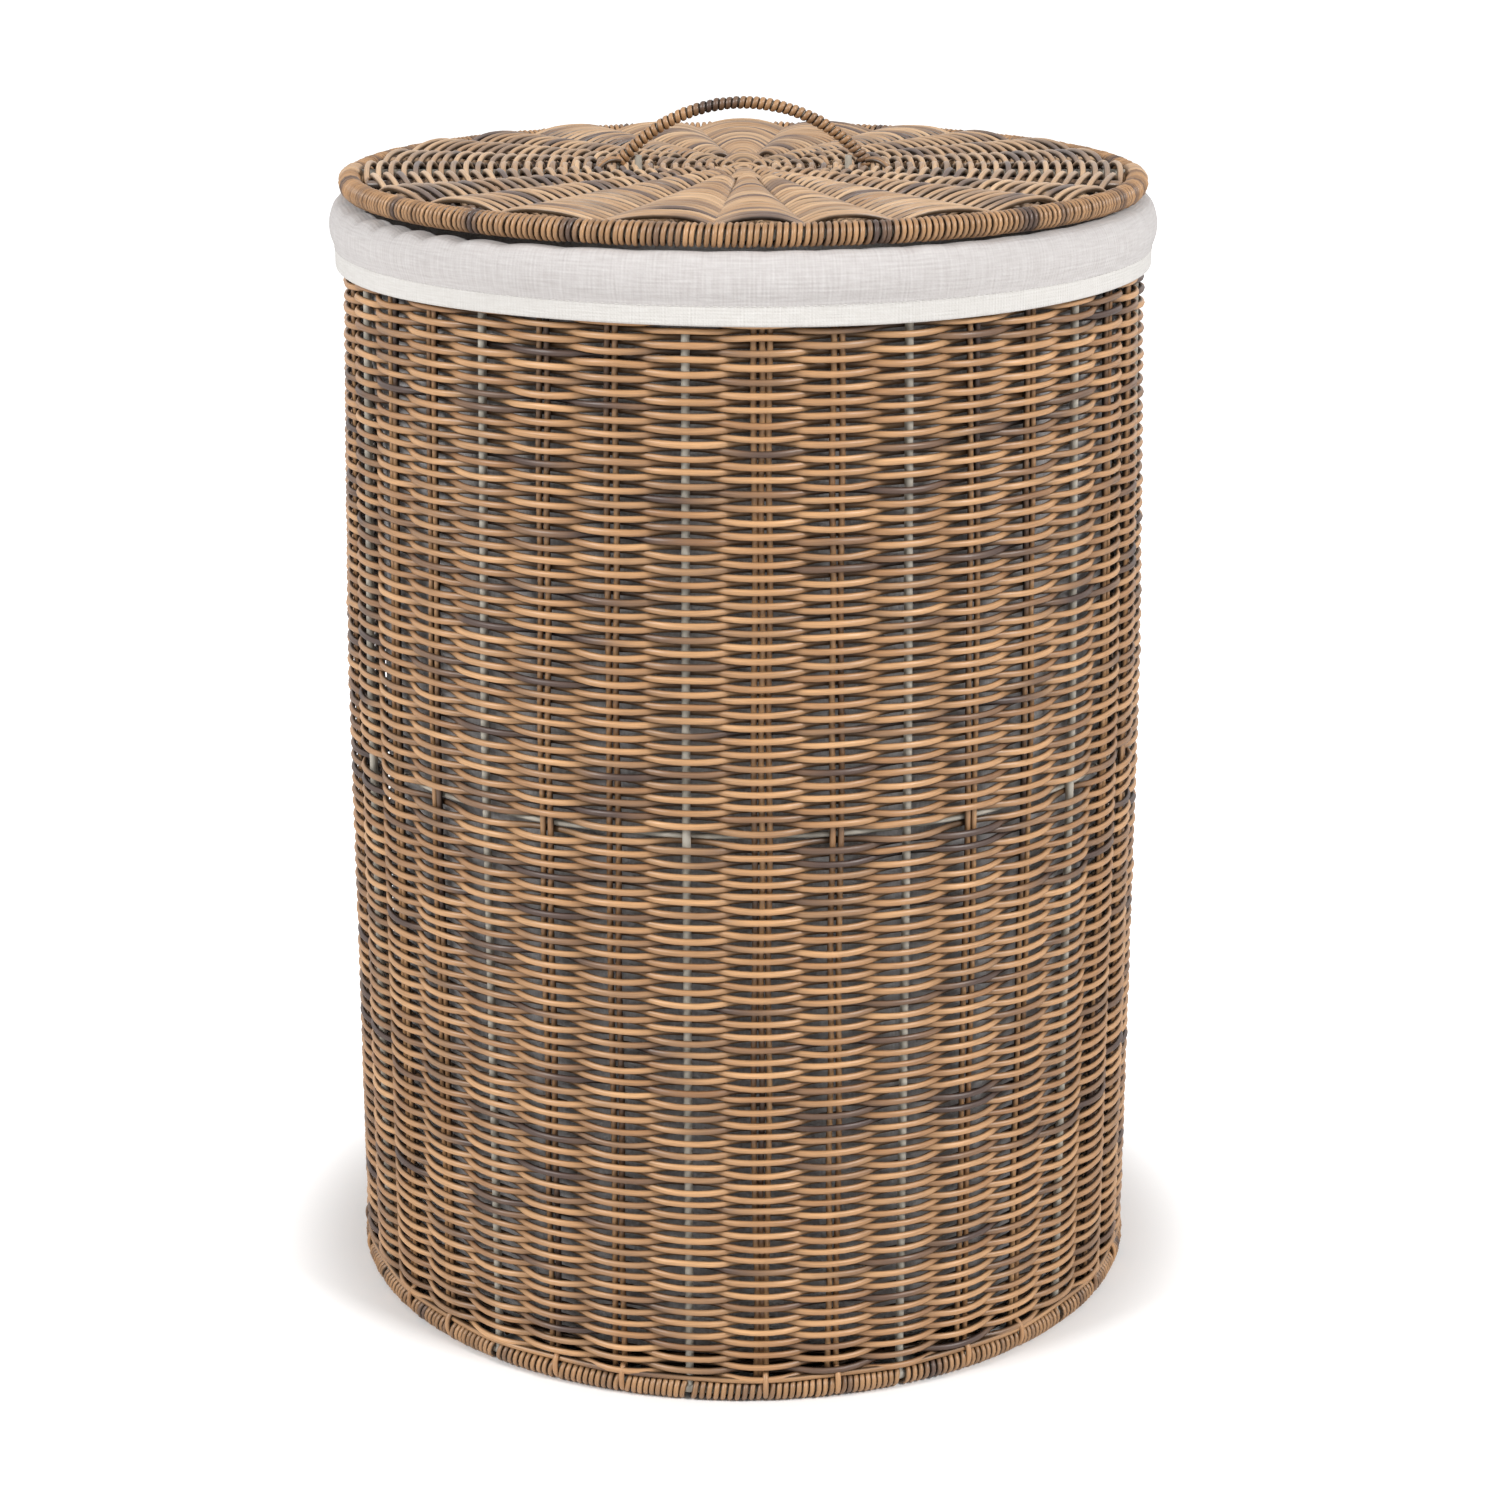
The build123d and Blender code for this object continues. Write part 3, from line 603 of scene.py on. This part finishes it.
# the crest sinks and puckers most at the front left
front_left = np.exp(-((cloth_angle - np.radians(216)) / np.radians(24)) ** 2)
BULGE_LOBES = (3, 5, 7, 11)
phase = chance.uniform(0, FULL_TURN, max(BULGE_LOBES) + 1)
bulge = sum(np.cos(lobes * cloth_angle + phase[lobes]) / lobes for lobes in BULGE_LOBES)
pucker = np.abs(np.sin(24 * cloth_angle + 1.3 * np.sin(5 * cloth_angle)))
free = np.exp(-((profile_z - (crest_z - 0.013)) / 0.009) ** 2) * outside
hang = np.sin(np.pi * np.clip((profile_z - bag_low[2]) / (rim_hoop_z - bag_low[2]), 0, 1)) * (1 - outside)
folds = 0.6 + 0.4 * np.cos(17 * cloth_angle + 2.0 * np.sin(3 * cloth_angle) + 4 * profile_z)
seam = np.exp(-((cloth_angle - LINER_SEAM_ANGLE) * bag_radius / 0.003) ** 2)
cloth_r = profile_r + 0.0009 * bulge * free - 0.0045 * folds * hang + 0.0006 * seam * outside
cloth_z = profile_z + near_crest * (0.0003 * bulge - 0.0031 * front_left)
cloth_z = cloth_z + tip * (0.0017 * pucker * front_left + 0.0004 * (pucker - 0.5))
liner = new_piece("liner_bag_and_cuff",
                  *cloth_skin(ring_points(cloth_r, cloth_angle, cloth_z), CLOTH_THICKNESS),
                  liner_cloth, "liner", "liner_cloth", "liner_bag")
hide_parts("liner_cuff")


# ---------------------------------------------------------------------------------------------------
# Liner's round base: a disc of the same cloth, sewn to the bag's lower edge, lying slack on the woven base.

DISC_RINGS = 48
DISC_STEPS = 160
disc_low, disc_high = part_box("liner_base")
disc_angle = FULL_TURN * np.arange(DISC_STEPS)[None] / DISC_STEPS
disc_share = np.linspace(0.004, 1, DISC_RINGS)[:, None]
disc_radius = disc_high[0] * disc_share
slack = np.sin(7 * disc_share + 2 * np.cos(2 * disc_angle)) * np.cos(3 * disc_angle + 4 * disc_share)
disc_z = disc_low[2] + CLOTH_THICKNESS / 2 + 0.0012 * (1 + slack) * np.sin(np.pi * disc_share)
disc_grid = ring_points(disc_radius, disc_angle, disc_z)[::-1]
disc_points, disc_faces, _ = cloth_skin(disc_grid, CLOTH_THICKNESS)
# the disc's threads run straight across it, so its UV is its place in metres
disc_uv = disc_points[disc_faces[0].ravel()][:, :2]
liner_disc = new_piece("liner_base_disc", disc_points, disc_faces, disc_uv,
                       liner_cloth, "liner", "liner_cloth", "liner_base")


# ---------------------------------------------------------------------------------------------------
# Hem binding: a strip of smooth white cotton folded over the cuff's raw edge and sewn through, 10 mm deep.

def stitches(angle, radius, height, length, half, out_slope):
    """Short level stitches at many angles: each is a five-ring tube, thin at both ends, that lies round the
    basket and dips into the cloth where it ends."""
    share = np.linspace(-1, 1, 5)[None]
    turn = angle[:, None] + share * length / 2 / radius
    lift = half * (1 - share ** 2) - 0.4 * half
    paths = ring_points(radius + lift, turn, height + 0 * turn)
    thick = half * np.array([0.5, 1, 1, 1, 0.5])[None]
    outwards = ring_points(1.0, turn, out_slope + 0 * turn)
    return cane_tubes(paths, outwards, thick, thick, 5, False)


BINDING_GAP = 0.0007
BINDING_LINES = 10
BINDING_THICKNESS = 0.0005
STITCH_LENGTH = 0.0026
STITCH_HALF = 0.00022
binding_cloth = woven_cloth("white cotton binding", "#D6D3CF", "#CAC6C1", 0.0008, 0.30)
side_line = np.linspace(hem_high[2], hem_low[2] + 0.001, BINDING_LINES)
inner_side = np.stack([np.full(BINDING_LINES, hem_radius - BINDING_GAP), side_line], -1)
outer_side = np.stack([np.full(BINDING_LINES, hem_radius + BINDING_GAP), side_line[::-1]], -1)
under = np.radians(np.array([215, 245, 270, 295, 325]))
turn_up_z = hem_low[2] + 0.0009 + BINDING_GAP * np.sin(under)
turn_up = np.stack([hem_radius + BINDING_GAP * np.cos(under), turn_up_z], -1)
binding_line = np.concatenate([inner_side, turn_up, outer_side])
binding_r = binding_line[:, :1] + 0.0003 * bulge
binding_z = binding_line[:, 1:] + 0.0005 * np.cos(4 * cloth_angle + phase[0]) + 0 * binding_r
binding_grid = ring_points(binding_r, cloth_angle, binding_z)
binding = new_piece("hem_binding", *cloth_skin(binding_grid, BINDING_THICKNESS), binding_cloth,
                    "liner", "hem_binding", "liner_hem_band")
STITCH_PITCH = 0.0034
stitch_radius = hem_radius + BINDING_GAP + 0.00025
stitch_angle = np.arange(0, FULL_TURN, STITCH_PITCH / stitch_radius)
stitch_bulge = sum(np.cos(lobes * stitch_angle + phase[lobes]) / lobes for lobes in BULGE_LOBES)[:, None]
stitch_mesh = stitches(stitch_angle, stitch_radius + 0.0003 * stitch_bulge, hem_high[2] - 0.0012,
                       STITCH_LENGTH, STITCH_HALF, 0.0)
thread_row = new_piece("hem_stitching", *stitch_mesh, binding_cloth, "liner", "hem_binding")


# ---------------------------------------------------------------------------------------------------
# Lid: a steel hoop and crossbar with cane spokes, woven over one and under one in rounds from a tight centre.
# The thick spokes throw the rounds into high ridges; the outermost rounds arch over each spoke at the rim.

LID_SWING = 0.0045
LID_PITCH = 0.00305
LID_SPOKES = 24
lid_low, lid_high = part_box("lid_weave")
lid_z = (lid_low[2] + lid_high[2]) / 2
lid_edge = lid_high[0]
hub_low, hub_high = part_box("lid_hub")
spoke_low, spoke_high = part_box("lid_spokes")
spoke_half = (spoke_high[2] - spoke_low[2]) / 2

# the spokes stand a little unevenly; the one at the front leans to the right and has close neighbours
lid_turn = chance.uniform(-1.8, 1.8, LID_SPOKES)
lid_turn[[0, LID_SPOKES // 2]] = 0
FRONT_SPOKE = 3 * LID_SPOKES // 4
lid_turn[FRONT_SPOKE - 1:FRONT_SPOKE + 2] = (4.5, 2.6, -0.6)
lid_angles = FULL_TURN * np.arange(LID_SPOKES) / LID_SPOKES + np.radians(lid_turn)
lid_cane = plastic_cane("tan plastic cane", "#D0AE8A", "#A58262", "#695850", 0.28, 0.12, 0.12)
new_piece("lid_spoke_canes",
          *spoke_tubes(lid_z, spoke_half, (hub_high[0], ADDED_SPOKE_START), lid_edge, lid_angles,
                       (0, LID_SPOKES // 2)), lid_cane, "lid", "lid_cane", "lid_spokes")

# rounds pass under the two steel lugs' feet, which stand clear in front of them
lug_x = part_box("handle_lugs")[1][0] - 0.0018
LUG_ROOM = 0.0042
hub_rounds = np.arange(0.0035, hub_high[0], LID_PITCH)
near_rounds = np.arange(hub_rounds[-1] + LID_PITCH, ADDED_SPOKE_START, LID_PITCH)
far_rounds = np.arange(near_rounds[-1] + LID_PITCH, lid_edge - CANE_RADIUS + 0.0004, LID_PITCH)
middle_count = len(far_rounds) // 2
for name, radii, swing_height, angles, steps, node in (
        ("lid_centre_rounds", hub_rounds, 0.0024, lid_angles[::6], 48, "lid_hub"),
        ("lid_inner_rounds", near_rounds, 0.0038, lid_angles[::2], 120, "lid_weave"),
        ("lid_middle_rounds", far_rounds[:middle_count], LID_SWING, lid_angles, 240, "lid_weave"),
        ("lid_outer_rounds", far_rounds[middle_count:], LID_SWING, lid_angles, 240, "lid_weave")):
    # the outer rounds carry on from the middle ones, and so start turned over if those are odd in number
    out_of_step = middle_count % 2 * (radii[0] == far_rounds[middle_count])
    path, out = disc_rounds(radii, lid_z, swing_height, angles, steps, out_of_step)
    lug_near = np.exp(-((np.abs(path[..., 0]) - lug_x) ** 2 + (path[..., 1] + 0.002) ** 2) / LUG_ROOM ** 2)
    path[..., 2] -= (path[..., 2] - lid_z + 0.0042) * lug_near
    new_piece(name, *cane_tubes(path, out, CANE_RADIUS, CANE_RADIUS, 8, True),
              lid_cane, "lid", "lid_cane", node)


# ---------------------------------------------------------------------------------------------------
# Lid rim: cane wound round the hoop in two runs, with a few broad smooth turns where the crossbar meets it.

LASHING_HALF = 0.0019
LASHING_HALF_WIDE = 0.0023
LASHING_PITCH = 0.0042
RIM_WRAP_HALF = 0.0016
RIM_WRAP_HALF_WIDE = 0.00138
RIM_WRAP_PITCH = 0.0031
lid_hoop_radius, lid_hoop_z, lid_rod_radius = hoop_of("lid_rim_hoop")
_, lashing_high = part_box("lid_rim_lashings")
lashing_reach = np.arcsin(lashing_high[1] / lashing_high[0])
for number, start in enumerate((0.0, np.pi)):
    path, out = even_coil(lid_hoop_radius, lid_hoop_z, lid_rod_radius + RIM_WRAP_HALF, RIM_WRAP_PITCH,
                          start + lashing_reach, start + np.pi - lashing_reach)
    new_piece(f"lid_rim_wrapping_{number + 1}",
              *cane_tubes(path, out, RIM_WRAP_HALF, RIM_WRAP_HALF_WIDE, 8, False),
              wrap_cane, "lid", "wrap_cane", "lid_rim_wrap")
    path, out = even_coil(lid_hoop_radius, lid_hoop_z, lid_rod_radius + LASHING_HALF, LASHING_PITCH,
                          start - lashing_reach, start + lashing_reach, 16)
    new_piece(f"lid_rim_lashing_{number + 1}",
              *cane_tubes(path, out, LASHING_HALF, LASHING_HALF_WIDE, 8, False),
              lid_cane, "lid", "lid_cane", "lid_rim_lashings")


# ---------------------------------------------------------------------------------------------------
# Handle: an arch of steel rod wound with cane, turn against turn. At each foot the winding ends in two tails
# that are tucked into the lid's weave along the crossbar.

def arch_points(arch_angle, reach, section):
    """Points about the handle's arch: arch_angle from its top, and reach from its centre line at the section
    angle, where 0 faces out of the arch and a quarter turn faces along Y."""
    radius = HANDLE_ARCH_RADIUS + reach * np.cos(section)
    return np.stack(np.broadcast_arrays(radius * np.sin(arch_angle), reach * np.sin(section),
                                        arch_centre_z + radius * np.cos(arch_angle)), -1)


HANDLE_ARCH_RADIUS = 0.0796
WIND_DEEP = 0.0011
WIND_WIDE = 0.0015
WIND_SUNK = 0.0007
WIND_PITCH = 0.0033
WIND_STEPS = 16
core_low, core_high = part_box("handle_core")
core_radius = (core_high[1] - core_low[1]) / 2
arch_centre_z = core_high[2] - core_radius - HANDLE_ARCH_RADIUS
foot_angle = np.arccos((lid_high[2] - 0.0015 - arch_centre_z) / HANDLE_ARCH_RADIUS)
turns = int(round(2 * foot_angle * HANDLE_ARCH_RADIUS / WIND_PITCH))
turn = np.arange(turns * WIND_STEPS + 1) / WIND_STEPS
section = FULL_TURN * turn
lean = turn_values(turns, 0.00015, turn) / HANDLE_ARCH_RADIUS
along = -foot_angle + 2 * foot_angle * turn / turns + lean
reach = core_radius + WIND_DEEP - WIND_SUNK + turn_values(turns, 0.00008, turn)
path = arch_points(along, reach, section)[None]
out = path - arch_points(along, 0 * reach, section)[None]
new_piece("handle_winding", *cane_tubes(path, out, WIND_DEEP, WIND_WIDE, 8, False),
          wrap_cane, "lid", "wrap_cane", "handle_wrap")

TAIL_STEPS = 18
TAIL_HALF_DEEP = 0.0013
foot_x = HANDLE_ARCH_RADIUS * np.sin(foot_angle)
tails = []
for side in (-1, 1):
    for sway in (-0.0022, 0.0018):
        corners = np.array([
            [side * (foot_x - 0.002), sway, lid_high[2] + 0.0005],
            [side * (foot_x + 0.002), sway, lid_high[2] + 0.0012],
            [side * (foot_x + 0.006), sway * 1.8 - 0.001, lid_high[2] + 0.0004],
            [side * (foot_x + 0.010), sway * 2.6 - 0.002, lid_high[2] - 0.0030],
            [side * (foot_x + 0.012), sway * 2.8 - 0.002, lid_z - 0.002]])
        tails.append(spline(corners, TAIL_STEPS))
tails = np.stack(tails)
up = np.broadcast_to([0.0, 0.0, 1.0], tails.shape)
new_piece("handle_tails", *cane_tubes(tails, up, TAIL_HALF_DEEP, WRAP_HALF, 8, False),
          wrap_cane, "lid", "wrap_cane")


# ---------------------------------------------------------------------------------------------------
# Studio: a white floor that runs out of sight, a white surround and two large soft lamps. The camera stands
# in front at table height and looks down at the basket.

def soft_lamp(name, place, size, watts, aim):
    """A square area lamp at a place, turned to face the point it lights."""
    lamp = bpy.data.lights.new(name, "AREA")
    lamp.size = size
    lamp.energy = watts
    holder = bpy.data.objects.new(name, lamp)
    bpy.context.scene.collection.objects.link(holder)
    holder.location = place
    toward = np.array(aim) - np.array(place)
    flat = np.hypot(toward[0], toward[1])
    holder.rotation_euler = (np.arctan2(flat, -toward[2]), 0, np.arctan2(toward[1], toward[0]) - np.pi / 2)


scene = bpy.context.scene
CAMERA_DISTANCE = 1.598
CAMERA_HEIGHT = 0.777
CAMERA_ASIDE = 0.0033
CAMERA_TILT_DOWN = np.radians(17.58)
CAMERA_LENS = 76.4
camera_data = bpy.data.cameras.new("camera")
camera_data.lens = CAMERA_LENS
camera_data.sensor_width = 36
camera = bpy.data.objects.new("camera", camera_data)
camera.location = (CAMERA_ASIDE, -CAMERA_DISTANCE, CAMERA_HEIGHT)
camera.rotation_euler = (np.pi / 2 - CAMERA_TILT_DOWN, 0, 0)
scene.collection.objects.link(camera)
scene.camera = camera

FLOOR_HALF = 20.0
floor_mesh = bpy.data.meshes.new("floor")
floor_corners = [(-FLOOR_HALF, -FLOOR_HALF, 0), (FLOOR_HALF, -FLOOR_HALF, 0),
                 (FLOOR_HALF, FLOOR_HALF, 0), (-FLOOR_HALF, FLOOR_HALF, 0)]
floor_mesh.from_pydata(floor_corners, [], [(0, 1, 2, 3)])
floor = bpy.data.objects.new("floor", floor_mesh)
scene.collection.objects.link(floor)
paper_look = {"Base_Color": linear("#F4F4F4"), "Roughness": 0.9, "Emission_Color": (1, 1, 1, 1)}
paper, paper_tree, paper_shader = new_material("matt white paper", **paper_look)
# the floor glows only to the camera, and not under the basket, where it would shine through the weave
looked_at = add_node(paper_tree, "ShaderNodeLightPath").outputs["Is Camera Ray"]
spot = add_node(paper_tree, "ShaderNodeTexCoord").outputs["Object"]
from_middle = add_node(paper_tree, "ShaderNodeVectorMath", {0: spot}, operation="LENGTH").outputs["Value"]
fade = {"Value": from_middle, 1: 0.195, 2: 0.3, 3: 0.0, 4: 0.8}
clear = add_node(paper_tree, "ShaderNodeMapRange", fade, interpolation_type="SMOOTHSTEP").outputs[0]
glow = add_node(paper_tree, "ShaderNodeMath", {0: looked_at, 1: clear}, operation="MULTIPLY").outputs[0]
paper_tree.links.new(glow, paper_shader.inputs["Emission Strength"])
floor_mesh.materials.append(paper)

world = bpy.data.worlds.new("white surround")
scene.world = world
world.use_nodes = True
SURROUND_SEEN = 1.05
SURROUND_LIGHT = 0.35
sky = world.node_tree
diffuse = add_node(sky, "ShaderNodeLightPath").outputs["Is Diffuse Ray"]
seen_or_lit = {"Value": diffuse, 3: SURROUND_SEEN, 4: SURROUND_LIGHT}
strength = add_node(sky, "ShaderNodeMapRange", seen_or_lit).outputs[0]
sky.nodes["Background"].inputs["Color"].default_value = (1, 1, 1, 1)
sky.links.new(strength, sky.nodes["Background"].inputs["Strength"])
soft_lamp("key lamp", (2.2, -1.7, 2.3), 0.9, 85, (0, 0, 0.4))
soft_lamp("fill lamp", (-2.4, -1.5, 2.0), 0.9, 70, (0, 0, 0.35))
scene.view_settings.view_transform = "Standard"
